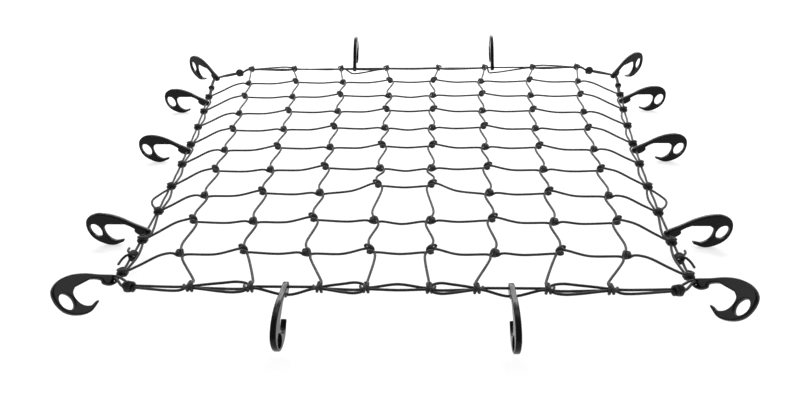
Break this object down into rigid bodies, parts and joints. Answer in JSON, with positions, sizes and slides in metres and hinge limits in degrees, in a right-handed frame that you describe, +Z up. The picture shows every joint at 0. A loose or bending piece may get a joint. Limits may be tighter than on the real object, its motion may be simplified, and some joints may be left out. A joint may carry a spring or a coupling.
{
  "type": "elastic cargo net",
  "caption": "Stretchable knotted net of elastic cord with a doubled border cord and moulded plastic hooks that swing on it, for holding loads on a rack, tray or trailer.",
  "frame": {"origin": "middle of the net in plan, on the floor that the side hooks stand on", "axes": "+Z up, +X to the right along the front border, +Y towards the wider back border"},
  "size_m": [1.308, 1.2058, 0.1334],
  "materials": {
    "cord": "braided polyester sheath over a rubber core, matt with a faint sheen",
    "hook_plastic": "moulded black nylon, glossy faces with rounded edges"
  },
  "bodies": {
    "net": {"long_cord_1": "cord", "long_cord_2": "cord", "long_cord_3": "cord", "long_cord_4": "cord", "long_cord_5": "cord", "long_cord_6": "cord", "long_cord_7": "cord", "long_cord_8": "cord", "cross_cord_1": "cord", "cross_cord_2": "cord", "cross_cord_3": "cord", "cross_cord_4": "cord", "cross_cord_5": "cord", "cross_cord_6": "cord", "cross_cord_7": "cord", "cross_cord_8": "cord", "cross_cord_9": "cord", "border_left": "cord", "border_right": "cord", "border_front": "cord", "border_back": "cord"},
    "hook_left_1": {"hook_left_1": "hook_plastic"},
    "hook_left_2": {"hook_left_2": "hook_plastic"},
    "hook_left_3": {"hook_left_3": "hook_plastic"},
    "hook_left_back_corner": {"hook_left_back_corner": "hook_plastic"},
    "hook_left_front_corner": {"hook_left_front_corner": "hook_plastic"},
    "hook_back_left": {"hook_back_left": "hook_plastic"},
    "hook_front_left": {"hook_front_left": "hook_plastic"},
    "hook_right_1": {"hook_right_1": "hook_plastic"},
    "hook_right_2": {"hook_right_2": "hook_plastic"},
    "hook_right_3": {"hook_right_3": "hook_plastic"},
    "hook_right_back_corner": {"hook_right_back_corner": "hook_plastic"},
    "hook_right_front_corner": {"hook_right_front_corner": "hook_plastic"},
    "hook_back_right": {"hook_back_right": "hook_plastic"},
    "hook_front_right": {"hook_front_right": "hook_plastic"}
  },
  "joints": [
    {"name": "hook_left_1_swing", "type": "hinge", "parent": "net", "child": "hook_left_1", "pos_m": [-0.54603, 0.34892, 0.02733], "axis": [0, 1, 0], "range_deg": [-90, 90]},
    {"name": "hook_left_2_swing", "type": "hinge", "parent": "net", "child": "hook_left_2", "pos_m": [-0.50469, 0.05692, 0.02733], "axis": [0, 1, 0], "range_deg": [-90, 90]},
    {"name": "hook_left_3_swing", "type": "hinge", "parent": "net", "child": "hook_left_3", "pos_m": [-0.47373, -0.28408, 0.02733], "axis": [0, 1, 0], "range_deg": [-90, 90]},
    {"name": "hook_left_back_corner_swing", "type": "hinge", "parent": "net", "child": "hook_left_back_corner", "pos_m": [-0.557, 0.50192, 0.04033], "axis": [0.5299, 0.848, 0], "range_deg": [-80, 90]},
    {"name": "hook_left_front_corner_swing", "type": "hinge", "parent": "net", "child": "hook_left_front_corner", "pos_m": [-0.469, -0.44008, 0.03533], "axis": [-0.8044, 0.2006, -0.5592], "range_deg": [-80, 90]},
    {"name": "hook_back_left_swing", "type": "hinge", "parent": "net", "child": "hook_back_left", "pos_m": [-0.16216, 0.50417, 0.06533], "axis": [1, 0, 0], "range_deg": [-72, 76]},
    {"name": "hook_front_left_swing", "type": "hinge", "parent": "net", "child": "hook_front_left", "pos_m": [-0.171, -0.49583, 0.06533], "axis": [-1, 0, 0], "range_deg": [-26, 120]},
    {"name": "hook_right_1_swing", "type": "hinge", "parent": "net", "child": "hook_right_1", "pos_m": [0.54603, 0.34892, 0.02733], "axis": [0, -1, 0], "range_deg": [-90, 90]},
    {"name": "hook_right_2_swing", "type": "hinge", "parent": "net", "child": "hook_right_2", "pos_m": [0.50469, 0.05692, 0.02733], "axis": [0, -1, 0], "range_deg": [-90, 90]},
    {"name": "hook_right_3_swing", "type": "hinge", "parent": "net", "child": "hook_right_3", "pos_m": [0.47373, -0.28408, 0.02733], "axis": [0, -1, 0], "range_deg": [-90, 90]},
    {"name": "hook_right_back_corner_swing", "type": "hinge", "parent": "net", "child": "hook_right_back_corner", "pos_m": [0.557, 0.50192, 0.04033], "axis": [0.5299, -0.848, 0], "range_deg": [-80, 90]},
    {"name": "hook_right_front_corner_swing", "type": "hinge", "parent": "net", "child": "hook_right_front_corner", "pos_m": [0.469, -0.44008, 0.03533], "axis": [-0.8044, -0.2006, 0.5592], "range_deg": [-80, 90]},
    {"name": "hook_back_right_swing", "type": "hinge", "parent": "net", "child": "hook_back_right", "pos_m": [0.22176, 0.50417, 0.06533], "axis": [1, 0, 0], "range_deg": [-72, 76]},
    {"name": "hook_front_right_swing", "type": "hinge", "parent": "net", "child": "hook_front_right", "pos_m": [0.171, -0.49583, 0.06533], "axis": [-1, 0, 0], "range_deg": [-26, 120]}
  ]
}
